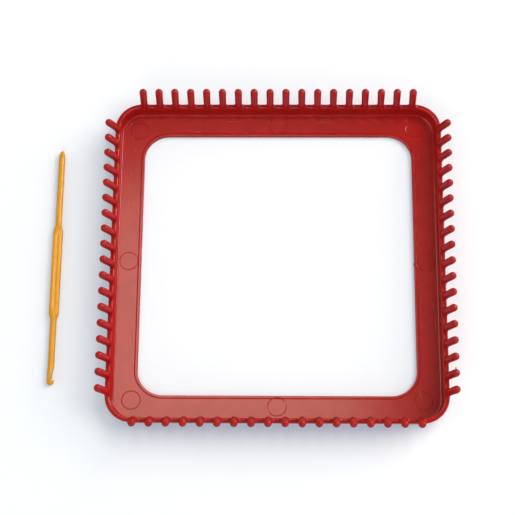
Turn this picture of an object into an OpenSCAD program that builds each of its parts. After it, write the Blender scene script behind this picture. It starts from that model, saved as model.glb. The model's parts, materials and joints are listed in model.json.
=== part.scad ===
// Square peg loom for weaving potholders, with its double-ended hook.
// The loom lies on a table: the origin is the middle of its window, level with its underside.
// X runs to the right, Y runs away from the weaver and Z runs up. All sizes are in millimetres.
// The loom is one plastic moulding. It is drawn here as a floor ring, the lip round its window,
// four straight walls, four corner walls and four rows of pegs, which meet face to face.
// The hook is one moulding too, drawn as its crochet head, its grip and its point.

/* [Tray] */
// Outside width and depth of the tray, across its rim
rim_size = 184; // [140:1:260]
// Height of the rim above the table
rim_h = 9.9; // [7:0.1:14]
// Radius of the rim's outer corners, seen from above
rim_corner_r = 14.9; // [11:0.1:25]
// Rounding of the rim's long edges
rim_edge_r = 0.5; // [0.2:0.1:0.9]
// Outward lean of the wall's outer face, in degrees
outer_lean = 10; // [2:0.5:12]
// Outward lean of the wall's inner face, in degrees
inner_lean = 4; // [1:0.5:8]
// Radius of the fillet where the inner face meets the floor
foot_fillet_r = 1.5; // [0.5:0.1:2.5]
// Thickness of the floor
floor_t = 2; // [1.5:0.1:3]
// Width of the floor, from the window's edge to the wall's inner face
floor_w = 12.1; // [8:0.1:30]

/* [Window] */
// Radius of the window's corners
window_corner_r = 13.9; // [4:0.1:30]
// Width of the raised lip round the window
lip_w = 1.8; // [1:0.1:3]
// Height of the lip above the floor
lip_h = 1; // [0.4:0.1:2]

/* [Pegs] */
// Distance from one peg to the next
peg_pitch = 8.93; // [7:0.01:14]
// Diameter of a peg where it leaves the rim, which is as wide as the pegs' feet
peg_root_d = 3.6; // [3:0.1:5]
// Diameter of a peg's round tip
peg_tip_d = 4.1; // [3:0.1:6]
// Length of a peg along its axis, from the rim to the end of its tip
peg_len = 13.2; // [8:0.1:20]
// Outward lean of the pegs, in degrees
peg_lean = 20.4; // [0:0.1:30]
// Least distance from the last peg's axis to the start of the rim's corner
peg_end_gap = 1; // [0:0.1:10]

/* [Hook] */
// Length of the hook from end to end
hook_len = 136.5; // [115:0.5:200]
// Diameter of the hook's two rods
rod_d = 3.5; // [3:0.1:5]
// Length of the pointed end's taper
point_len = 6; // [3:0.1:12]
// Radius of the very tip of the pointed end
point_r = 0.35; // [0.2:0.05:1]
// Diameter of the crochet head
head_d = 3.9; // [3:0.1:6]
// Distance from the end of the head to the throat
head_len = 2.5; // [2:0.1:5]
// Length of the throat's cut along the rod
throat_len = 8; // [5:0.1:14]
// Thickness of plastic left at the deepest part of the throat
throat_web = 2; // [1.5:0.1:2.5]
// Radius at the bottom of the throat
throat_r = 0.5; // [0.3:0.05:0.8]
// Rise of the head's hooked edge over the bottom of the throat
head_rise = 0.5; // [0:0.1:1]
// Width of the grip
grip_w = 5.3; // [4:0.1:9]
// Thickness of the grip, which is flat above and below
grip_t = 4; // [3:0.1:7]
// Length of the grip with its shoulders
grip_len = 55; // [30:0.5:60]
// Distance from the end of the head to the grip
grip_start = 36.5; // [20:0.5:45]
// Length of each of the grip's shoulders
shoulder_len = 2.6; // [1:0.1:6]
// Depth of the shallow groove along the grip's flat faces
groove_depth = 0.3; // [0.1:0.05:0.6]
// Radius of the groove's round bottom
groove_r = 3; // [2:0.1:6]
// Distance along the grip that the groove stops short of each end
groove_inset = 4; // [2:0.5:12]
// Distance from the rim to the hook's axis, as the hook lies on the table
hook_gap = 30.6; // [20:0.1:80]
// Distance from the front edge of the rim to the end of the crochet head
hook_setback = 21.8; // [0:0.1:80]

/* [Hidden] */
$fn = 64;

loom_red = "#b2262a";
hook_yellow = "#eba52d";

// Tray: places are distances out from the middle of the loom, and heights above the table
rim_half = rim_size / 2;
rim_w = peg_root_d / cos(peg_lean);
corner_mid = rim_half - rim_corner_r;
outer_foot = rim_half - rim_h * tan(outer_lean);
inner_top = rim_half - rim_w;
inner_foot = inner_top - (rim_h - floor_t) * tan(inner_lean);
fillet_reach = arc_reach(90 + inner_lean, foot_fillet_r);
floor_edge = inner_foot - fillet_reach;
window_half = inner_foot - floor_w;
wall_run = 2 * corner_mid;

// Pegs: as many as fit on the straight part of the rim
peg_run = corner_mid - peg_end_gap;
peg_count = 1 + floor(2 * peg_run / peg_pitch);
peg_line = rim_half - rim_w / 2;
peg_sink = 3;

// Hook: lengths run from the end of the crochet head to the pointed tip
rod_r = rod_d / 2;
head_r = head_d / 2;
throat_floor = throat_web - rod_r;
hook_axis_z = max(grip_t, rod_d, head_d) / 2;
hook_x = -(rim_half + hook_gap);
hook_y = -rim_half + hook_setback;
grip_end = grip_start + grip_len;
point_steps = 10;
past = 1;

// Corner rounding: the arc touches both edges at arc_reach from the corner
function arc_reach(angle, r) = r / tan(angle / 2);
function towards(p, direction, distance) =
    [p[0] + distance * cos(direction), p[1] + distance * sin(direction)];

// A flat shape with four equal round corners, centred on the origin
module rounded_square(half, r) {
    square([2 * half, 2 * (half - r)], center = true);
    square([2 * (half - r), 2 * half], center = true);
    for (sx = [-1, 1], sy = [-1, 1])
        translate([sx * (half - r), sy * (half - r)])
            circle(r);
}

// The wall's section: first coordinate outwards, second coordinate upwards
module wall_section() {
    outer_angle = 90 - outer_lean;
    inner_angle = 90 + inner_lean;
    outer_top = [rim_half, rim_h];
    inner_edge = [inner_top, rim_h];
    outer_reach = arc_reach(outer_angle, rim_edge_r);
    inner_reach = arc_reach(inner_angle, rim_edge_r);
    fillet_mid = [floor_edge, floor_t + foot_fillet_r];
    fillet_top = towards([inner_foot, floor_t], 90 - inner_lean, fillet_reach);
    polygon([
        [floor_edge, 0],
        [outer_foot, 0],
        towards(outer_top, 270 - outer_lean, outer_reach),
        towards(outer_top, 180, outer_reach),
        towards(inner_edge, 0, inner_reach),
        towards(inner_edge, 270 - inner_lean, inner_reach),
        [inner_foot, floor_t],
        [floor_edge, floor_t]
    ]);
    translate([rim_half - outer_reach, rim_h - rim_edge_r])
        circle(rim_edge_r);
    translate([inner_top + inner_reach, rim_h - rim_edge_r])
        circle(rim_edge_r);
    difference() {
        polygon([
            [floor_edge, floor_t / 2],
            [inner_foot + rim_edge_r, floor_t / 2],
            fillet_top + [rim_edge_r, 0],
            fillet_top,
            fillet_mid
        ]);
        translate(fillet_mid)
            circle(foot_fillet_r);
    }
}

// One straight wall, on the side away from the weaver
module straight_wall() {
    translate([-corner_mid, 0, 0])
        rotate([90, 0, 90])
            linear_extrude(wall_run)
                wall_section();
}

// One quarter-round wall, at the corner away from the weaver and to the right
module corner_wall() {
    translate([corner_mid, corner_mid, 0])
        rotate_extrude(angle = 90)
            translate([-corner_mid, 0])
                wall_section();
}

// One peg standing at the origin, with its foot sunk for trimming
module peg() {
    shank = peg_len - peg_tip_d / 2;
    translate([0, 0, -peg_sink])
        cylinder(h = shank + peg_sink, d1 = peg_root_d, d2 = peg_tip_d);
    translate([0, 0, shank])
        sphere(d = peg_tip_d);
}

// One row of pegs on the side away from the weaver, trimmed level with the rim
module peg_row() {
    difference() {
        for (i = [0 : peg_count - 1])
            translate([(i - (peg_count - 1) / 2) * peg_pitch, peg_line, rim_h])
                rotate([-peg_lean, 0, 0])
                    peg();
        translate([-rim_half, 0, 0])
            cube([rim_size, rim_size, rim_h]);
    }
}

// The four sides and corners are one form, turned by quarter turns
module turned(quarters) {
    rotate([0, 0, 90 * quarters])
        children();
}

// A flat ring round the window
module window_ring(half, r, thickness) {
    difference() {
        linear_extrude(thickness)
            rounded_square(half, r);
        translate([0, 0, -past])
            linear_extrude(thickness + 2 * past)
                rounded_square(window_half, window_corner_r);
    }
}

module floor_ring() {
    color(loom_red)
        window_ring(floor_edge, floor_edge - corner_mid, floor_t);
}

module window_lip() {
    color(loom_red)
        translate([0, 0, floor_t])
            window_ring(window_half + lip_w, window_corner_r + lip_w, lip_h);
}

module back_wall() {
    color(loom_red) turned(0) straight_wall();
}

module left_wall() {
    color(loom_red) turned(1) straight_wall();
}

module front_wall() {
    color(loom_red) turned(2) straight_wall();
}

module right_wall() {
    color(loom_red) turned(3) straight_wall();
}

module back_right_corner() {
    color(loom_red) turned(0) corner_wall();
}

module back_left_corner() {
    color(loom_red) turned(1) corner_wall();
}

module front_left_corner() {
    color(loom_red) turned(2) corner_wall();
}

module front_right_corner() {
    color(loom_red) turned(3) corner_wall();
}

module back_pegs() {
    color(loom_red) turned(0) peg_row();
}

module left_pegs() {
    color(loom_red) turned(1) peg_row();
}

module front_pegs() {
    color(loom_red) turned(2) peg_row();
}

module right_pegs() {
    color(loom_red) turned(3) peg_row();
}

// Lays a piece of the hook on the table: it stands on the origin, head down, before that
module lying() {
    color(hook_yellow)
        translate([hook_x, hook_y, hook_axis_z])
            rotate([-90, 0, 0])
                children();
}

// The cut that makes the throat, seen square to the hook as it lies
module throat_cut() {
    outside = rod_r + head_r;
    rotate([90, 0, 0])
        linear_extrude(2 * head_d, center = true) {
            polygon([
                [throat_floor + throat_r, head_len],
                [outside, head_len + head_rise],
                [outside, head_len + throat_len],
                [rod_r, head_len + throat_len],
                [throat_floor, head_len + 2 * throat_r],
                [throat_floor, head_len + throat_r]
            ]);
            translate([throat_floor + throat_r, head_len + throat_r])
                circle(throat_r);
        }
}

// The crochet head on its round rod
module hook_head() {
    lying()
        difference() {
            union() {
                translate([0, 0, head_r])
                    sphere(head_r);
                translate([0, 0, head_r])
                    cylinder(h = grip_start - head_r, r = rod_r);
            }
            throat_cut();
        }
}

// The grip: a turned bar flattened above and below, with a shallow groove along each flat
module hook_grip() {
    groove_len = grip_len - 2 * groove_inset;
    lying()
        difference() {
            translate([0, 0, grip_start])
                intersection() {
                    union() {
                        cylinder(h = shoulder_len, r1 = rod_r, r2 = grip_w / 2);
                        translate([0, 0, shoulder_len])
                            cylinder(h = grip_len - 2 * shoulder_len, d = grip_w);
                        translate([0, 0, grip_len - shoulder_len])
                            cylinder(h = shoulder_len, r1 = grip_w / 2, r2 = rod_r);
                    }
                    translate([-grip_w, -grip_t / 2, 0])
                        cube([2 * grip_w, grip_t, grip_len]);
                }
            for (side = [-1, 1])
                translate([0, side * (grip_t / 2 + groove_r - groove_depth), grip_start + groove_inset])
                    cylinder(h = groove_len, r = groove_r);
        }
}

// The other round rod, with its blunt point
module hook_point() {
    taper_start = hook_len - point_len;
    lying() {
        rotate_extrude()
            polygon(concat(
                [[0, grip_end], [rod_r, grip_end], [rod_r, taper_start]],
                [for (i = [1 : point_steps])
                    [point_r + (rod_r - point_r) * cos(90 * i / point_steps),
                     taper_start + (point_len - point_r) * sin(90 * i / point_steps)]],
                [[0, hook_len - point_r]]
            ));
        translate([0, 0, hook_len - point_r])
            sphere(point_r);
    }
}

floor_ring();
window_lip();
front_wall();
back_wall();
left_wall();
right_wall();
front_left_corner();
front_right_corner();
back_left_corner();
back_right_corner();
front_pegs();
back_pegs();
left_pegs();
right_pegs();
hook_head();
hook_grip();
hook_point();
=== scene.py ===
# %% [markdown]
# # A square peg loom and its hook
#
# The object is a small loom for weaving potholders: one red plastic moulding, a shallow tray round a
# square window, with eighteen pegs on each side, and a loose yellow hook with a crochet head. The
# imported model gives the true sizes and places. Here its plain solids become two finished mouldings,
# with rounded edges, the marks that a mould leaves, and the gloss of hard plastic.

# %% Load the fixed frame
import json
from math import copysign, cos, exp, pi, radians, sin, tan

import bpy
from mathutils import Matrix, Vector


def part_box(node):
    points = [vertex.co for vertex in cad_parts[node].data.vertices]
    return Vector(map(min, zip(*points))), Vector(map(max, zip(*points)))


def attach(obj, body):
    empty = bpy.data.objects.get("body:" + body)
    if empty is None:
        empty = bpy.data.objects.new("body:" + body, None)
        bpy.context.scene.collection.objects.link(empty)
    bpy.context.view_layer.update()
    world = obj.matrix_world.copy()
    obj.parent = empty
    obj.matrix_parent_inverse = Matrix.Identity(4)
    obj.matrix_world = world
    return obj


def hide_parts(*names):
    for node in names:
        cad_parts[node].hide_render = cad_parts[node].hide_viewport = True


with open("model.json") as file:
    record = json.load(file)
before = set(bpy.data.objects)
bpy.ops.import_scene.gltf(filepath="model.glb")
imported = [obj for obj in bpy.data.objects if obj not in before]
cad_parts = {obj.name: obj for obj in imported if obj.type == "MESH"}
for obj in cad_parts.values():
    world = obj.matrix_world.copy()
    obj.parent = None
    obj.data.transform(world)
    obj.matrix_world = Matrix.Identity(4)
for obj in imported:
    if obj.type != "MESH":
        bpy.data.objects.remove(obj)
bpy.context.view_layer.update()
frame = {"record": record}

MM = 0.001

# %% [markdown]
# ## The camera
#
# The camera looks down on the table from the weaver's side, about 18 degrees off the vertical, from
# 0.8 m away. A long lens at that distance gives a slight perspective, in which the near side is a
# little wider than the far one. The place and the angles were worked out from the loom's rim, its
# window and its pegs.

# %% Place the camera
camera_place = (0.00452, -0.25082, 0.76899)
camera_turn = (18.2987, 1.0051, 0.4800)
camera_lens = 101.89
camera_near = 0.01

camera = bpy.data.objects.new("camera", bpy.data.cameras.new("camera"))
camera.location = camera_place
camera.rotation_euler = [radians(angle) for angle in camera_turn]
camera.data.lens = camera_lens
camera.data.clip_start = camera_near
bpy.context.scene.collection.objects.link(camera)
bpy.context.scene.camera = camera
print("camera height in mm:", round(camera_place[2] / MM))

# %% [markdown]
# ## Sizes of the loom
#
# A finished moulding has to lie where its solids lie, so the main sizes are read from the frame:
# half the rim's width, and the heights of floor and rim. The rest are the few real sizes that no
# box can show, such as the wall's lean, the pegs' spacing and the window's corners. The lip round
# the window is finished lower than its plain solid.

# %% Read the loom's sizes
edge_r = 0.5 * MM
outer_lean = radians(10)
inner_lean = radians(4)
# The wall's box ends on its rounded edge, and a section is drawn from the sharp corner outside it
rim_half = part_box("back_wall")[1].y + edge_r / tan(pi / 4 - outer_lean / 2) - edge_r
rim_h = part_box("back_wall")[1].z
corner_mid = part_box("back_wall")[1].x
floor_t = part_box("floor_ring")[1].z
lip_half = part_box("window_lip")[1].x
lip_w = 1.8 * MM
lip_rise = 0.3 * MM
lip_top = floor_t + lip_rise
window_half = lip_half - lip_w
window_corner_r = 13.9 * MM
window_mid = window_half - window_corner_r
rim_w = 2.7 * MM
rim_fall = 0.25 * MM
peg_root_r = 1.9 * MM
peg_tip_r = 2.1 * MM
peg_pitch = 8.93 * MM
pegs_per_side = 18
peg_line = rim_half - rim_w / 2
outer_foot = rim_half - rim_h * tan(outer_lean)
inner_top = rim_half - rim_w
inner_foot = inner_top - (rim_h - floor_t) * tan(inner_lean)
print("half-widths in mm: rim", round(rim_half / MM, 2), "window", round(window_half / MM, 2))

# %% [markdown]
# ## One helper for every node tree
#
# Both the shapes and the finishes are node trees. A tree that a script builds is easy to read if
# each node takes one call, which names its kind, its settings and what feeds it. A source may be a
# plain value, a socket, or a node, whose first live output is then taken. A list feeds a socket
# that takes several links.

# %% Add a node with its settings and links
def add(tree, kind, sources=None, **settings):
    """Adds a node to a tree, gives it its settings, and sets or links the inputs that are named."""
    node = tree.nodes.new(kind)
    for name, value in settings.items():
        setattr(node, name, value)
    for key, source in (sources or {}).items():
        live = [s for s in node.inputs if s.enabled]
        socket = live[key] if isinstance(key, int) else next(s for s in live if s.name == key)
        for one in source if isinstance(source, list) else [source]:
            if isinstance(one, bpy.types.Node):
                one = next(s for s in one.outputs if s.enabled)
            if isinstance(one, bpy.types.NodeSocket):
                tree.links.new(one, socket)
            else:
                socket.default_value = one
    return node


# %% [markdown]
# ## Two glossy plastics
#
# The loom and the hook are moulded in polystyrene, a hard plastic that copies the polish of its
# mould. It bends light more than most plastics, with an IOR of 1.59, so it shows clear highlights
# over a deep, even colour. What breaks that up is faint: flow marks where the melt ran, a soft
# waviness of the polish, and dull hairline scuffs from use. Each of them is a noise with a width in
# millimetres, read on the object's own coordinates, so the pattern stays with the piece. Real
# scuffs are about a tenth of a millimetre wide, and are drawn a few times coarser, so that they show.

# %% Turn a written colour into a linear one
def linear(hex_colour):
    """An sRGB colour, written as six hex digits, as linear red, green, blue and alpha."""
    channels = [int(hex_colour[i:i + 2], 16) / 255 for i in (0, 2, 4)]
    return tuple(c / 12.92 if c <= 0.04045 else ((c + 0.055) / 1.055) ** 2.4 for c in channels) + (1.0,)


print("a written mid grey, 808080, is linear", round(linear("808080")[0], 3))


# %% Mix the moulded polystyrene
polystyrene_ior = 1.59
flow_swirl = 1.2
flow_from, flow_to = 0.35, 0.65
scuff_stretch = 0.12
scuff_from, scuff_to = 0.70, 0.76
scuff_dulling = 0.15
wave_strength = 0.25
wave_depth = 0.05 * MM


def polystyrene(name, colour, flow_colour, polish, flow_mark, wave, scuff):
    """Hard glossy plastic. Flow marks, waves and scuffs have their widths in metres."""
    material = bpy.data.materials.new(name)
    material.use_nodes = True
    tree = material.node_tree
    tree.nodes.clear()
    place = add(tree, "ShaderNodeTexCoord").outputs["Object"]
    # Flow marks: slow bands of a slightly deeper tint
    flow = add(tree, "ShaderNodeTexNoise",
               {"Vector": place, "Scale": 1 / flow_mark, "Detail": 2.0, "Distortion": flow_swirl})
    tint = add(tree, "ShaderNodeMapRange", {"Value": flow, "From Min": flow_from, "From Max": flow_to})
    shade = add(tree, "ShaderNodeMix",
                {"Factor": tint, "A": linear(colour), "B": linear(flow_colour)}, data_type="RGBA")
    # Scuffs: short hairlines of a stretched noise, which run along whichever rail they are on
    parts = add(tree, "ShaderNodeSeparateXYZ", {0: place})
    from_middle = [add(tree, "ShaderNodeMath", {0: parts.outputs[axis]}, operation="ABSOLUTE")
                   for axis in ("X", "Y")]
    on_side = add(tree, "ShaderNodeMath", {0: from_middle[0], 1: from_middle[1]}, operation="GREATER_THAN")
    stretch = add(tree, "ShaderNodeMix",
                  {"Factor": on_side, "A": (scuff_stretch, 1, 1), "B": (1, scuff_stretch, 1)},
                  data_type="VECTOR")
    drawn = add(tree, "ShaderNodeVectorMath", {0: place, 1: stretch}, operation="MULTIPLY")
    hair = add(tree, "ShaderNodeTexNoise", {"Vector": drawn, "Scale": 1 / scuff, "Detail": 1.0})
    rub = add(tree, "ShaderNodeMapRange",
              {"Value": hair, "From Min": scuff_from, "From Max": scuff_to,
               "To Min": polish, "To Max": polish + scuff_dulling})
    # Waves of the polish: too shallow to see as shape, but they make a highlight swim
    swell = add(tree, "ShaderNodeTexNoise", {"Vector": place, "Scale": 1 / wave, "Detail": 1.0})
    bump = add(tree, "ShaderNodeBump",
               {"Height": swell, "Strength": wave_strength, "Distance": wave_depth})
    surface = add(tree, "ShaderNodeBsdfPrincipled",
                  {"Base Color": shade, "Roughness": rub, "Normal": bump, "IOR": polystyrene_ior})
    add(tree, "ShaderNodeOutputMaterial", {"Surface": surface})
    return material


loom_plastic = polystyrene("red_moulded_polystyrene", "b31b18", "a91815", polish=0.16,
                           flow_mark=16 * MM, wave=5 * MM, scuff=1.2 * MM)
hook_plastic = polystyrene("yellow_moulded_polystyrene", "eca41c", "e59c15", polish=0.2,
                           flow_mark=9 * MM, wave=3 * MM, scuff=0.8 * MM)
print("materials:", loom_plastic.name, hook_plastic.name)

# %% [markdown]
# ## Drawing a section with rounded corners
#
# Seen in section, a moulding is a few straight runs joined by small arcs. Smooth shading averages
# the normals at each vertex, so a wide flat face beside a small arc would shade as if it bulged. A
# support point just past each end of an arc keeps the flat face flat. So an outline is written as
# its sharp corners, each with a radius, and one function rounds them and adds the supports.
#
# The tray's own outline starts at the window's edge, runs out under the floor, up the wall's outer
# side, over the rim and down again. The rim's top falls a little to the outside. The lip round the
# window is a low step: its level top shines as the floor does, and only its short outer slope draws
# a fine darker line.

# %% Round the corners of a closed outline
arc_steps = 6
support_gap = 0.12 * MM


def rounded(corners):
    """A closed outline of (across, up) points from sharp corners, each (across, up, radius)."""
    outline = []
    for i, (across, up, radius) in enumerate(corners):
        corner = Vector((across, up))
        before = (Vector(corners[i - 1][:2]) - corner).normalized()
        after = (Vector(corners[(i + 1) % len(corners)][:2]) - corner).normalized()
        half_angle = before.angle(after) / 2
        reach = radius / tan(half_angle)
        middle = corner + (before + after).normalized() * radius / sin(half_angle)
        start = corner + before * reach - middle
        sweep = (corner + after * reach - middle).angle_signed(start)
        outline.append(corner + before * (reach + support_gap))
        for step in range(arc_steps + 1):
            turned = start.copy()
            turned.rotate(Matrix.Rotation(sweep * step / arc_steps, 2))
            outline.append(middle + turned)
        outline.append(corner + after * (reach + support_gap))
    return outline


# %% Draw the tray's section
lip_slope = 0.45 * MM
step_r = 0.3 * MM
window_edge_r = 0.35 * MM
window_foot_r = 0.25 * MM
outer_foot_r = 0.4 * MM
inner_edge_r = 0.7 * MM
foot_fillet_r = 0.9 * MM
tray_corners = [
    (window_half, 0, window_foot_r),
    (outer_foot, 0, outer_foot_r),
    (rim_half, rim_h - rim_fall, edge_r),
    (inner_top, rim_h, inner_edge_r),
    (inner_foot, floor_t, foot_fillet_r),
    (lip_half, floor_t, step_r),
    (lip_half - lip_slope, lip_top, step_r),
    (window_half, lip_top, window_edge_r),
]
tray_outline = rounded(tray_corners)
print("the tray's section has", len(tray_outline), "points")

# %% [markdown]
# ## The tray by Geometry Nodes
#
# The tray is its section carried round a rounded square. A plain sweep would not fit, because the
# window's corners and the rim's corners are not arcs about one centre. So each point of the section
# carries its own corner radius, and a rule turns every point into a rounded square of its own. The
# tree lays a grid, one row for each point and one column for each step round the loom, and moves
# each vertex by that rule. A change of any size then gives a clean new tray.

# %% Start, end and run a modelling tree
def modelling_tree(name, inputs):
    """An empty Geometry Nodes tree with one named input for each size, and what it is given."""
    tree = bpy.data.node_groups.new(name, "GeometryNodeTree")
    tree.interface.new_socket("Geometry", in_out="INPUT", socket_type="NodeSocketGeometry")
    for label, kind in inputs.items():
        tree.interface.new_socket(label, in_out="INPUT", socket_type="NodeSocket" + kind)
    tree.interface.new_socket("Geometry", in_out="OUTPUT", socket_type="NodeSocketGeometry")
    return tree, tree.nodes.new("NodeGroupInput").outputs


def end_tree(tree, shape, material):
    """Ends a tree with real faces that carry one material."""
    real = add(tree, "GeometryNodeRealizeInstances", {"Geometry": shape})
    smooth = add(tree, "GeometryNodeSetShadeSmooth", {"Geometry": real})
    painted = add(tree, "GeometryNodeSetMaterial", {"Geometry": smooth, "Material": material})
    add(tree, "NodeGroupOutput", {"Geometry": painted})


def modelled(name, mesh, tree, values):
    """A plain mesh object: what the tree makes of this mesh with these values."""
    source = bpy.data.objects.new(name + "_source", mesh)
    bpy.context.scene.collection.objects.link(source)
    modifier = source.modifiers.new("shape", "NODES")
    modifier.node_group = tree
    for socket in tree.interface.items_tree:
        if socket.name in values:
            modifier[socket.identifier] = values[socket.name]
    depsgraph = bpy.context.evaluated_depsgraph_get()
    made = bpy.data.meshes.new_from_object(source.evaluated_get(depsgraph))
    bpy.data.objects.remove(source)
    piece = bpy.data.objects.new(name, made)
    bpy.context.scene.collection.objects.link(piece)
    print(name, "has", len(made.vertices), "vertices and", len(made.polygons), "faces")
    return piece


# %% Build the tree that turns a section into the tray
weld_gap = 0.001 * MM


def tray_tree(material):
    """Each point of the section becomes a rounded square, and the squares join into one skin."""
    tree, given = modelling_tree("tray_rings", {"Corner Steps": "Int", "Side Steps": "Int"})
    quarter = add(tree, "ShaderNodeMath", {0: given["Corner Steps"], 1: given["Side Steps"]})
    around = add(tree, "ShaderNodeMath", {0: quarter, 1: 4.0}, operation="MULTIPLY")
    points = add(tree, "GeometryNodeAttributeDomainSize", {"Geometry": given["Geometry"]})
    columns = add(tree, "ShaderNodeMath", {0: around, 1: 1.0})
    rows = add(tree, "ShaderNodeMath", {0: points, 1: 1.0})
    grid = add(tree, "GeometryNodeMeshGrid",
               {"Size X": around, "Size Y": points, "Vertices X": columns, "Vertices Y": rows})
    # Which step round the loom, and which point of the section, a vertex stands for
    place = add(tree, "ShaderNodeSeparateXYZ", {0: add(tree, "GeometryNodeInputPosition")})
    across = add(tree, "ShaderNodeMath", {0: around, 1: 0.5, 2: place.outputs["X"]},
                 operation="MULTIPLY_ADD")
    step = add(tree, "ShaderNodeMath", {0: across}, operation="ROUND")
    along = add(tree, "ShaderNodeMath", {0: points, 1: 0.5, 2: place.outputs["Y"]},
                operation="MULTIPLY_ADD")
    count = add(tree, "ShaderNodeMath", {0: along}, operation="ROUND")
    point = add(tree, "ShaderNodeMath", {0: count, 1: points}, operation="MODULO")
    # The section's own half-width, height and corner radius there
    where = add(tree, "GeometryNodeSampleIndex",
                {"Geometry": given["Geometry"], "Value": add(tree, "GeometryNodeInputPosition"),
                 "Index": point}, data_type="FLOAT_VECTOR")
    section = add(tree, "ShaderNodeSeparateXYZ", {0: where})
    radius = add(tree, "GeometryNodeSampleIndex",
                 {"Geometry": given["Geometry"], "Index": point,
                  "Value": add(tree, "GeometryNodeInputNamedAttribute", {"Name": "corner_radius"})})
    # A quarter of a rounded square: first the arc, then the side that follows it
    within = add(tree, "ShaderNodeMath", {0: step, 1: quarter}, operation="MODULO")
    angle = add(tree, "ShaderNodeMapRange",
                {"Value": within, "From Max": given["Corner Steps"], "To Max": pi / 2})
    side = add(tree, "ShaderNodeMapRange",
               {"Value": within, "From Min": given["Corner Steps"], "From Max": quarter,
                "To Min": 1.0, "To Max": -1.0})
    middle = add(tree, "ShaderNodeMath", {0: section.outputs["X"], 1: radius}, operation="SUBTRACT")
    cosine = add(tree, "ShaderNodeMath", {0: angle}, operation="COSINE")
    sine = add(tree, "ShaderNodeMath", {0: angle}, operation="SINE")
    bow = add(tree, "ShaderNodeMath", {0: radius, 1: cosine}, operation="MULTIPLY")
    x = add(tree, "ShaderNodeMath", {0: middle, 1: side, 2: bow}, operation="MULTIPLY_ADD")
    y = add(tree, "ShaderNodeMath", {0: radius, 1: sine, 2: middle}, operation="MULTIPLY_ADD")
    corner = add(tree, "ShaderNodeCombineXYZ", {"X": x, "Y": y, "Z": section.outputs["Z"]})
    # Four quarters, each turned by a right angle
    turns = add(tree, "ShaderNodeMath", {0: step, 1: quarter}, operation="DIVIDE")
    whole = add(tree, "ShaderNodeMath", {0: turns}, operation="FLOOR")
    turn = add(tree, "ShaderNodeMath", {0: whole, 1: pi / 2}, operation="MULTIPLY")
    placed = add(tree, "ShaderNodeVectorRotate", {"Vector": corner, "Axis": (0, 0, 1), "Angle": turn})
    bent = add(tree, "GeometryNodeSetPosition", {"Geometry": grid, "Position": placed})
    joined = add(tree, "GeometryNodeMergeByDistance", {"Geometry": bent, "Distance": weld_gap})
    end_tree(tree, joined, material)
    return tree


# %% Make the tray
corner_steps = 18
side_steps = 84


def outline_mesh(name, outline):
    """A closed line of the outline's points, across along X and up along Z."""
    mesh = bpy.data.meshes.new(name)
    count = len(outline)
    mesh.from_pydata([(p.x, 0, p.y) for p in outline], [(i, (i + 1) % count) for i in range(count)], [])
    return mesh


tray_section = outline_mesh("tray_section", tray_outline)
rings = tray_section.attributes.new("corner_radius", "FLOAT", "POINT")
for i, point in enumerate(tray_outline):
    round_window = point.x < (lip_half + inner_foot) / 2
    rings.data[i].value = point.x - (window_mid if round_window else corner_mid)
tray = modelled("tray", tray_section, tray_tree(loom_plastic),
                {"Corner Steps": corner_steps, "Side Steps": side_steps})

# %% [markdown]
# ## One peg
#
# A peg is a small round post, a little thicker at its round tip. It leaves the rim upright, bends
# outwards over its lower half and then runs straight. At its foot it flares along the rim in a
# fillet, so the rim looks scalloped between the pegs. Across the narrow rim it can't flare: there
# the foot keeps just within the rim, and swells to the peg's own width just above it. Each ring of
# the peg is an oval, square to the peg's middle line, and its squareness falls from a rounded
# oblong at the foot to a true circle. The foot goes on a little way down inside the wall, to be
# fused there.

# %% Skin a stack of rings
round_squareness = 2


def oval(half_x, half_y, squareness, steps):
    """Points of an oval. A squareness of 2 is an ellipse, and more is closer to an oblong."""
    points = []
    for i in range(steps):
        c, s = cos(2 * pi * i / steps), sin(2 * pi * i / steps)
        points.append((copysign(abs(c) ** (2 / squareness), c) * half_x,
                       copysign(abs(s) ** (2 / squareness), s) * half_y))
    return points


def skin(name, first, stack, last):
    """A closed mesh through rings of equal count, with a point at each end."""
    steps = len(stack[0])
    points = [first] + [point for ring in stack for point in ring] + [last]
    faces = []
    for i in range(steps):
        j = (i + 1) % steps
        faces.append((0, 1 + j, 1 + i))
        for k in range(len(stack) - 1):
            low, high = 1 + k * steps, 1 + (k + 1) * steps
            faces.append((low + i, low + j, high + j, high + i))
        top = 1 + (len(stack) - 1) * steps
        faces.append((top + i, top + j, len(points) - 1))
    mesh = bpy.data.meshes.new(name)
    mesh.from_pydata(points, [], faces)
    return mesh


def smooth(t):
    """Rises smoothly from 0 to 1 as t does."""
    t = min(max(t, 0), 1)
    return t * t * (3 - 2 * t)


# %% Shape the peg
peg_steps = 24
root_fillet = 1.6 * MM
root_rise = 1.5 * MM
fillet_steps = 6
bend_steps = 4
foot_depth = 1.3 * MM
foot_margin = 0.1 * MM
foot_half = rim_w / 2 - foot_margin
foot_squareness = 3.5
bend_r = 11.5 * MM
peg_lean = radians(25)
bend_len = bend_r * peg_lean
straight_len = 6.2 * MM
shank = bend_len + straight_len
tip_turns = [radians(angle) for angle in (20, 40, 58, 74)]


def peg_axis(along):
    """How far out and up the peg's middle line is, and how far it leans, at a distance along it."""
    lean = min(along / bend_r, peg_lean)
    rest = max(along - bend_len, 0)
    out = bend_r * (1 - cos(lean)) + rest * sin(lean)
    up = bend_r * sin(lean) + rest * cos(lean)
    return out, up, lean


def peg_ring(along, half_x, half_y, squareness):
    """One ring of the peg, square to its middle line."""
    out, up, lean = peg_axis(along)
    return [(x, out + y * cos(lean), up - y * sin(lean))
            for x, y in oval(half_x, half_y, squareness, peg_steps)]


def peg_radius(along):
    """The peg thickens evenly from its root to its tip."""
    return peg_root_r + (peg_tip_r - peg_root_r) * along / shank


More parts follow.
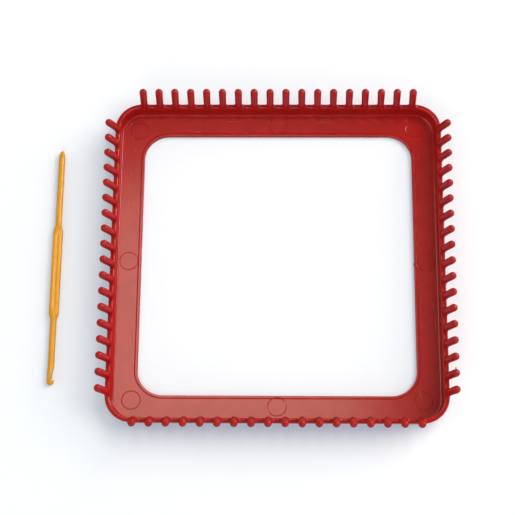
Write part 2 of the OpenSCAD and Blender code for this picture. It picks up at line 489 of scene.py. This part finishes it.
def peg_mesh():
    """A peg whose foot's middle is the origin, leaning along Y, with its row along X."""
    wall = foot_depth * tan(outer_lean)
    foot = [(x, y - wall, -foot_depth)
            for x, y in oval(peg_root_r + root_fillet, foot_half - wall, foot_squareness, peg_steps)]
    stack = [foot]
    for i in range(fillet_steps + 1):
        turn = pi / 2 * i / fillet_steps
        height = root_rise * (1 - cos(turn))
        squareness = foot_squareness + (round_squareness - foot_squareness) * i / fillet_steps
        half_x = peg_radius(height) + root_fillet * (1 - sin(turn))
        half_y = foot_half + (peg_radius(height) - foot_half) * smooth(height / root_rise)
        stack.append(peg_ring(height, half_x, half_y, squareness))
    for i in range(1, bend_steps + 1):
        along = root_rise + (bend_len - root_rise) * i / bend_steps
        stack.append(peg_ring(along, peg_radius(along), peg_radius(along), round_squareness))
    stack.append(peg_ring(shank, peg_tip_r, peg_tip_r, round_squareness))
    for turn in tip_turns:
        radius = peg_tip_r * cos(turn)
        stack.append(peg_ring(shank + peg_tip_r * sin(turn), radius, radius, round_squareness))
    out, up = peg_axis(shank + peg_tip_r)[:2]
    return skin("peg", (0, -wall, -foot_depth), stack, (0, out, up))


one_peg = peg_mesh()
print("a peg has", len(one_peg.polygons), "faces")

# %% [markdown]
# ## Seventy-two pegs by Geometry Nodes
#
# The pegs repeat in two ways: along a side at one pitch, and round the loom by quarter turns. The
# tree does just that. It puts the peg on the points of a line, then puts that row on four points
# at the middle of the loom, each turned one quarter more. Instances cost nothing until the last
# step makes them real.

# %% Build the tree that plants the pegs
def pegs_tree(material):
    """One peg becomes a row, and the row becomes the four sides."""
    tree, given = modelling_tree("peg_rows", {"Pegs Per Side": "Int", "Pitch": "Float",
                                              "Row Distance": "Float", "Rim Height": "Float"})
    gaps = add(tree, "ShaderNodeMath", {0: given["Pegs Per Side"], 1: 1.0}, operation="SUBTRACT")
    run = add(tree, "ShaderNodeMath", {0: gaps, 1: given["Pitch"]}, operation="MULTIPLY")
    first = add(tree, "ShaderNodeMath", {0: run, 1: -0.5}, operation="MULTIPLY")
    start = add(tree, "ShaderNodeCombineXYZ",
                {"X": first, "Y": given["Row Distance"], "Z": given["Rim Height"]})
    pitch = add(tree, "ShaderNodeCombineXYZ", {"X": given["Pitch"]})
    line = add(tree, "GeometryNodeMeshLine",
               {"Count": given["Pegs Per Side"], "Start Location": start, "Offset": pitch})
    row = add(tree, "GeometryNodeInstanceOnPoints", {"Points": line, "Instance": given["Geometry"]})
    middle = add(tree, "GeometryNodeMeshLine", {"Count": 4, "Offset": (0, 0, 0)})
    turn = add(tree, "ShaderNodeMath", {0: add(tree, "GeometryNodeInputIndex"), 1: pi / 2},
               operation="MULTIPLY")
    quarter = add(tree, "FunctionNodeAxisAngleToRotation", {"Axis": (0, 0, 1), "Angle": turn})
    sides = add(tree, "GeometryNodeInstanceOnPoints",
                {"Points": middle, "Instance": row, "Rotation": quarter})
    end_tree(tree, sides, material)
    return tree


# %% Plant the pegs
foot_overlap = 0.02 * MM
pegs = modelled("pegs", one_peg, pegs_tree(loom_plastic),
                {"Pegs Per Side": pegs_per_side, "Pitch": peg_pitch, "Row Distance": peg_line,
                 "Rim Height": rim_h - foot_overlap})

# %% [markdown]
# ## What the mould leaves behind
#
# Ejector pins push the moulding out of the mould, and each leaves a round witness line on the
# floor: eight of them, at the corners and half-way along the rails. The gate, where the plastic ran
# in, leaves a small nub on the window's edge. One peg has a whisker of flash at its tip. The witness
# lines are rings cut into the floor, again an instance on points. The nub and the whisker are small
# solids to be fused on.

# %% Build the tree that draws the ejector rings
mark_steps = 64
line_steps = 8


def marks_tree(material):
    """A thin round tube on every point."""
    tree, given = modelling_tree("ejector_rings", {"Mark Radius": "Float", "Line Radius": "Float"})
    ring = add(tree, "GeometryNodeCurvePrimitiveCircle",
               {"Resolution": mark_steps, "Radius": given["Mark Radius"]})
    line = add(tree, "GeometryNodeCurvePrimitiveCircle",
               {"Resolution": line_steps, "Radius": given["Line Radius"]})
    groove = add(tree, "GeometryNodeCurveToMesh", {"Curve": ring, "Profile Curve": line})
    marks = add(tree, "GeometryNodeInstanceOnPoints",
                {"Points": given["Geometry"], "Instance": groove})
    end_tree(tree, marks, material)
    return tree


# %% Draw the ejector rings
mark_r = 5 * MM
mark_line_r = 0.28 * MM
mark_lift = 0.1 * MM
mark_places = [(-78.5, -78.2), (0, -81.6), (78.8, -78), (-82.4, 0.5),
               (82, 0), (-78.9, 78.7), (0, 82), (78, 80.1)]
mark_points = bpy.data.meshes.new("mark_points")
mark_points.from_pydata([(x * MM, y * MM, floor_t + mark_lift) for x, y in mark_places], [], [])
marks = modelled("marks", mark_points, marks_tree(loom_plastic),
                 {"Mark Radius": mark_r, "Line Radius": mark_line_r})


# %% Shape the gate nub and the whisker of flash
bead_steps = 16
bead_rings = 8


def bead(name, place, size):
    """A small egg-shaped solid: size gives its half-sizes."""
    place, size = Vector(place), Vector(size)
    stack = []
    for i in range(1, bead_rings):
        turn = pi * i / bead_rings - pi / 2
        ring = oval(size.x * cos(turn), size.y * cos(turn), round_squareness, bead_steps)
        stack.append([place + Vector((x, y, size.z * sin(turn))) for x, y in ring])
    return skin(name, place - Vector((0, 0, size.z)), stack, place + Vector((0, 0, size.z)))


gate_y = -0.8 * MM
nub_size = (0.4 * MM, 1.1 * MM, 0.8 * MM)
whisker_size = (0.3 * MM, 1.3 * MM, 0.3 * MM)
flash_peg = 1
flash_out, flash_up = peg_axis(shank)[:2]
flash_x = peg_line + flash_out
flash_y = (flash_peg - (pegs_per_side - 1) / 2) * peg_pitch + peg_tip_r
flash_z = rim_h + flash_up
nub = bead("gate_nub", (window_half, gate_y, lip_top / 2), nub_size)
whisker = bead("flash_whisker", (flash_x, flash_y, flash_z), whisker_size)
print("the gate nub is", round(gate_y / MM, 1), "mm from the middle of the right rail")

# %% [markdown]
# ## One moulding
#
# The tray, the pegs, the nub and the whisker are one piece of plastic, so they are fused into one
# skin by a union, and the ejector rings are then cut out of it. The Manifold solver does this in a
# moment, and it needs closed shapes, which all of these are. Sharp edges are marked where two faces
# meet at more than 35 degrees, so that the flats stay flat and the fillets stay round.

# %% Build the tree that fuses the moulding
def fusing_tree(material):
    """The tray, the pegs and the nubs become one skin, and the marks are cut out of it."""
    tree, given = modelling_tree("one_moulding", {"Pegs": "Object", "Nubs": "Object", "Marks": "Object"})
    added = [add(tree, "GeometryNodeObjectInfo", {"Object": given[part]}).outputs["Geometry"]
             for part in ("Pegs", "Nubs")]
    fused = add(tree, "GeometryNodeMeshBoolean", {"Mesh": [given["Geometry"]] + added},
                operation="UNION", solver="MANIFOLD")
    marks_given = add(tree, "GeometryNodeObjectInfo", {"Object": given["Marks"]}).outputs["Geometry"]
    marked = add(tree, "GeometryNodeMeshBoolean", {"Mesh 1": fused, "Mesh 2": marks_given},
                 operation="DIFFERENCE", solver="MANIFOLD")
    end_tree(tree, marked, material)
    return tree


# %% Fuse the moulding
def joined_mesh(name, meshes):
    """One mesh that holds all of these."""
    points, faces = [], []
    for mesh in meshes:
        faces += [[len(points) + i for i in face.vertices] for face in mesh.polygons]
        points += [vertex.co.copy() for vertex in mesh.vertices]
    joined = bpy.data.meshes.new(name)
    joined.from_pydata(points, [], faces)
    return joined


nubs = bpy.data.objects.new("nubs", joined_mesh("nubs", [nub, whisker]))
bpy.context.scene.collection.objects.link(nubs)
loom = modelled("loom_moulding", tray.data, fusing_tree(loom_plastic),
                {"Pegs": pegs, "Nubs": nubs, "Marks": marks})
crease = radians(35)
loom.data.set_sharp_from_angle(angle=crease)
for part in (tray, pegs, nubs, marks):
    bpy.data.objects.remove(part)
print("the loom is one mesh of", len(loom.data.polygons), "faces")

# %% [markdown]
# ## The hook
#
# The hook is one slim moulding: a round rod with a blunt point at one end and a crochet head at the
# other, and between them a wider grip that is flat above and below, with a shallow groove for the
# finger and thumb. Its thickness follows a rule along its length, so it is skinned ring by ring,
# every half millimetre. The rule blends the parts, which gives the soft shoulders of a moulding.

# %% Read the hook's sizes
hook_x = (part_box("hook_grip")[0].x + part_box("hook_grip")[1].x) / 2
hook_z = (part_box("hook_grip")[0].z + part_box("hook_grip")[1].z) / 2
hook_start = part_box("hook_head")[0].y
hook_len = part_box("hook_point")[1].y - hook_start
grip_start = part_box("hook_grip")[0].y - hook_start
grip_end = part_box("hook_grip")[1].y - hook_start
grip_half = (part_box("hook_grip")[1].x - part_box("hook_grip")[0].x) / 2
grip_half_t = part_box("hook_grip")[1].z - hook_z
rod_r = 1.75 * MM
head_r = 1.95 * MM
point_r = 0.35 * MM
point_len = 6 * MM
shoulder = 3.6 * MM
groove_depth = 0.3 * MM
groove_half = 1.1 * MM
groove_inset = 4 * MM
neck_start = 3 * MM
neck_len = 6 * MM
print("the hook is", round(hook_len / MM, 1), "mm long and", round(2 * grip_half / MM, 1), "mm wide")

# %% Skin the hook's rod and grip
hook_steps = 40
ring_gap = 0.5 * MM
end_steps = 9
grip_squareness = 2.9


def hook_ring(along, radius=None):
    """One ring of the hook, at a distance from the end of its head."""
    grip = smooth((along - grip_start) / shoulder) * smooth((grip_end - along) / shoulder)
    groove = smooth((along - grip_start - groove_inset) / shoulder)
    groove *= smooth((grip_end - groove_inset - along) / shoulder)
    neck = smooth((along - neck_start) / neck_len)
    plain = head_r + (rod_r - head_r) * neck if radius is None else radius
    half_x = plain + (grip_half - rod_r) * grip
    half_z = plain + (grip_half_t - rod_r) * grip
    ring = []
    squareness = round_squareness + (grip_squareness - round_squareness) * grip
    for z, x in oval(half_z, half_x, squareness, hook_steps):
        dip = groove_depth * groove * exp(-((x / groove_half) ** 2))
        ring.append((hook_x + x, hook_start + along, hook_z + z - copysign(dip, z)))
    return ring


def hook_mesh():
    """The hook's skin before its throat is cut: round head, rod, grip, rod, taper and round point."""
    turns = [pi / 2 * i / end_steps for i in range(1, end_steps)]
    stack = [hook_ring(head_r * (1 - cos(turn)), head_r * sin(turn)) for turn in turns]
    taper_start = hook_len - point_len
    rings = round((taper_start - head_r) / ring_gap)
    stack += [hook_ring(head_r + (taper_start - head_r) * i / rings) for i in range(rings + 1)]
    stack += [hook_ring(taper_start + (point_len - point_r) * sin(turn),
                        point_r + (rod_r - point_r) * cos(turn)) for turn in turns]
    stack += [hook_ring(hook_len - point_r + point_r * sin(turn), point_r * cos(turn))
              for turn in turns[::3]]
    return skin("hook_rod", (hook_x, hook_start, hook_z), stack, (hook_x, hook_start + hook_len, hook_z))


rod = hook_mesh()
print("the hook's skin has", len(rod.polygons), "faces")

# %% [markdown]
# ## The crochet head
#
# The throat is a notch cut into one side of the rod, just behind the round head. It slopes in
# gently from the rod and ends in a round bottom under the head's hooked lip, which catches the
# loop. A prism of that outline, cut away with a Boolean modifier, gives the notch, and a small
# bevel then softens its edges as the mould would.

# %% Cut the throat and soften its edges
head_len = 2.1 * MM
throat_len = 10 * MM
throat_floor = 0.25 * MM
throat_r = 0.5 * MM
hook_lip = 0.6 * MM
soft_edge = 0.15 * MM
notch_side = 3 * rod_r
notch_half_h = 2 * head_r
notch_corner_r = 0.2 * MM
ramp_top_r = 9 * MM
ramp_foot_r = 2 * MM
throat_corners = [
    (throat_floor, head_len, throat_r),
    (notch_side, head_len + hook_lip * notch_side / rod_r, notch_corner_r),
    (notch_side, head_len + throat_len + rod_r, notch_corner_r),
    (rod_r, head_len + throat_len, ramp_top_r),
    (throat_floor, head_len + 3 * throat_r, ramp_foot_r),
]


def prism(name, outline, low, high):
    """A closed solid: the outline, drawn across and along the hook, from low to high."""
    count = len(outline)
    points = [(hook_x + p.x, hook_start + p.y, z) for z in (low, high) for p in outline]
    faces = [(i, (i + 1) % count, count + (i + 1) % count, count + i) for i in range(count)]
    faces += [tuple(reversed(range(count))), tuple(range(count, 2 * count))]
    mesh = bpy.data.meshes.new(name)
    mesh.from_pydata(points, [], faces)
    return mesh


def finished(name, mesh, material, modifiers):
    """An object of this mesh with its modifiers applied, shaded smooth up to its creases."""
    source = bpy.data.objects.new(name + "_source", mesh)
    bpy.context.scene.collection.objects.link(source)
    for kind, settings in modifiers:
        modifier = source.modifiers.new(kind.lower(), kind)
        for setting, value in settings.items():
            setattr(modifier, setting, value)
    depsgraph = bpy.context.evaluated_depsgraph_get()
    made = bpy.data.meshes.new_from_object(source.evaluated_get(depsgraph))
    bpy.data.objects.remove(source)
    made.materials.clear()
    made.materials.append(material)
    made.shade_smooth()
    made.set_sharp_from_angle(angle=crease)
    piece = bpy.data.objects.new(name, made)
    bpy.context.scene.collection.objects.link(piece)
    print(name, "has", len(made.polygons), "faces")
    return piece


notch = bpy.data.objects.new("notch", prism("notch", rounded(throat_corners),
                                            hook_z - notch_half_h, hook_z + notch_half_h))
bpy.context.scene.collection.objects.link(notch)
hook = finished("hook_moulding", rod, hook_plastic, [
    ("BOOLEAN", {"object": notch, "operation": "DIFFERENCE", "solver": "MANIFOLD"}),
    ("BEVEL", {"width": soft_edge, "segments": 2, "limit_method": "ANGLE", "angle_limit": crease}),
])
bpy.data.objects.remove(notch)

# %% [markdown]
# ## Riding on the bodies
#
# Each finished moulding rides on its own body, and stands for the plain solids that it replaces.
# When the hook is lifted, it goes whole.

# %% Ride and replace the plain solids
for piece, body, slot in ((loom, "loom", "loom_plastic"), (hook, "hook", "hook_plastic")):
    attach(piece, body)
    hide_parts(*frame["record"]["behaviour"]["bodies"][body])

# %% [markdown]
# ## Floor and light
#
# The table is plain matt card. The camera alone sees it as nearly white, with a soft bluish glow
# that lifts its shadows. What it throws back on to the loom is the light of a greyer card, which
# keeps the reds deep. The plastic doesn't mirror the floor, for the same reason.
#
# The light is that of a small product studio: a big soft key from the far right, which throws a
# soft shadow to the left and towards the weaver, weaker fills from the near side and from the left,
# and a warm soft box overhead. The soft box matters for the gloss: from the camera, the left and
# the near rails mirror it, and take on its pale veil. The key and the fills light the scene but
# aren't mirrored. A small lamp in the key's direction is only mirrored, and puts the bright points
# on the pegs and along the edges. The studio round it all is grey low down and dark overhead, so
# that the other level faces keep their deep red, and it is white to the camera alone.

# %% Mix the card
card_roughness = 0.9
card_sheen = 0.1


def white_card(name, seen_colour, true_colour, lift_colour, lift):
    """Matt card. Light meets its true colour. The camera sees another, with a glow added to it."""
    material = bpy.data.materials.new(name)
    material.use_nodes = True
    tree = material.node_tree
    tree.nodes.clear()
    seen = add(tree, "ShaderNodeLightPath").outputs["Is Camera Ray"]
    shade = add(tree, "ShaderNodeMix",
                {"Factor": seen, "A": linear(true_colour), "B": linear(seen_colour)}, data_type="RGBA")
    paper = add(tree, "ShaderNodeBsdfPrincipled",
                {"Base Color": shade, "Roughness": card_roughness, "Specular IOR Level": card_sheen})
    strength = add(tree, "ShaderNodeMath", {0: seen, 1: lift}, operation="MULTIPLY")
    glow = add(tree, "ShaderNodeEmission", {"Color": linear(lift_colour), "Strength": strength})
    both = add(tree, "ShaderNodeAddShader", {0: paper, 1: glow})
    add(tree, "ShaderNodeOutputMaterial", {"Surface": both})
    return material


card = white_card("white_card", seen_colour="f6ece7", true_colour="bcbcbc",
                  lift_colour="7edbff", lift=0.25)
print("the floor is of", card.name)

# %% Lay the floor
floor_half = 4.0
floor_drop = 0.05 * MM
floor_mesh = bpy.data.meshes.new("floor")
floor_mesh.from_pydata([(x * floor_half, y * floor_half, -floor_drop)
                        for x, y in ((-1, -1), (1, -1), (1, 1), (-1, 1))], [], [(0, 1, 2, 3)])
floor_mesh.materials.append(card)
floor = bpy.data.objects.new("floor", floor_mesh)
bpy.context.scene.collection.objects.link(floor)
floor.visible_glossy = False
print("the floor is", 2 * floor_half, "m square")


# %% Hang the lights
def soft_light(name, place, aim, size, radiance, colour, lights=True, mirrored=True):
    """A square lamp that faces its aim. Its radiance is how bright it looks, where 1 is white."""
    lamp = bpy.data.lights.new(name, "AREA")
    lamp.shape = "SQUARE"
    lamp.size = size
    # Cycles shows a square lamp at a radiance of its watts over four times its area
    lamp.energy = 4 * size ** 2 * radiance
    lamp.color = linear(colour)[:3]
    light = bpy.data.objects.new(name, lamp)
    light.location = place
    light.visible_diffuse = lights
    light.visible_glossy = mirrored
    light.rotation_euler = (Vector(aim) - Vector(place)).to_track_quat("-Z", "Y").to_euler()
    bpy.context.scene.collection.objects.link(light)


loom_middle = (0, 0, 0)
soft_light("key", (1.72, 0.80, 1.48), loom_middle, size=2.4, radiance=3.0, colour="fffcf8",
           mirrored=False)
soft_light("front", (-0.3, -1.9, 1.2), loom_middle, size=1.8, radiance=1.7, colour="f4f8ff",
           mirrored=False)
soft_light("left", (-1.6, 0.1, 0.75), loom_middle, size=1.2, radiance=1.0, colour="fffaf4",
           mirrored=False)
soft_light("overhead", (-0.13, 0.35, 1.5), (-0.13, 0.35, 0), size=0.54, radiance=2.5, colour="ffeedb")
soft_light("glint", (1.15, 0.67, 0.88), loom_middle, size=0.5, radiance=7, colour="ffffff",
           lights=False)
print("lights:", sorted(light.name for light in bpy.data.lights))

# %% Light the studio round it
# The direction's own height, from 0 at the horizon to 1 overhead, sets how bright the wall is
low_wall, low_until = 0.34, 0.4
dark_wall, dark_from = 0.06, 0.85

world = bpy.data.worlds.new("studio")
world.use_nodes = True
world_tree = world.node_tree
world_tree.nodes.clear()
seen = add(world_tree, "ShaderNodeBackground", {"Color": linear("ffffff"), "Strength": 1.0})
direction = add(world_tree, "ShaderNodeTexCoord").outputs["Generated"]
way = add(world_tree, "ShaderNodeSeparateXYZ", {0: direction})
wall = add(world_tree, "ShaderNodeMapRange",
           {"Value": way.outputs["Z"], "From Min": low_until, "From Max": dark_from,
            "To Min": low_wall, "To Max": dark_wall})
lit = add(world_tree, "ShaderNodeBackground", {"Color": linear("f2f6ff"), "Strength": wall})
ray = add(world_tree, "ShaderNodeLightPath").outputs["Is Camera Ray"]
both = add(world_tree, "ShaderNodeMixShader", {0: ray, 1: lit, 2: seen})
add(world_tree, "ShaderNodeOutputWorld", {"Surface": both})
bpy.context.scene.world = world
bpy.context.scene.view_settings.view_transform = "Standard"
print("world:", world.name, "view:", bpy.context.scene.view_settings.view_transform)
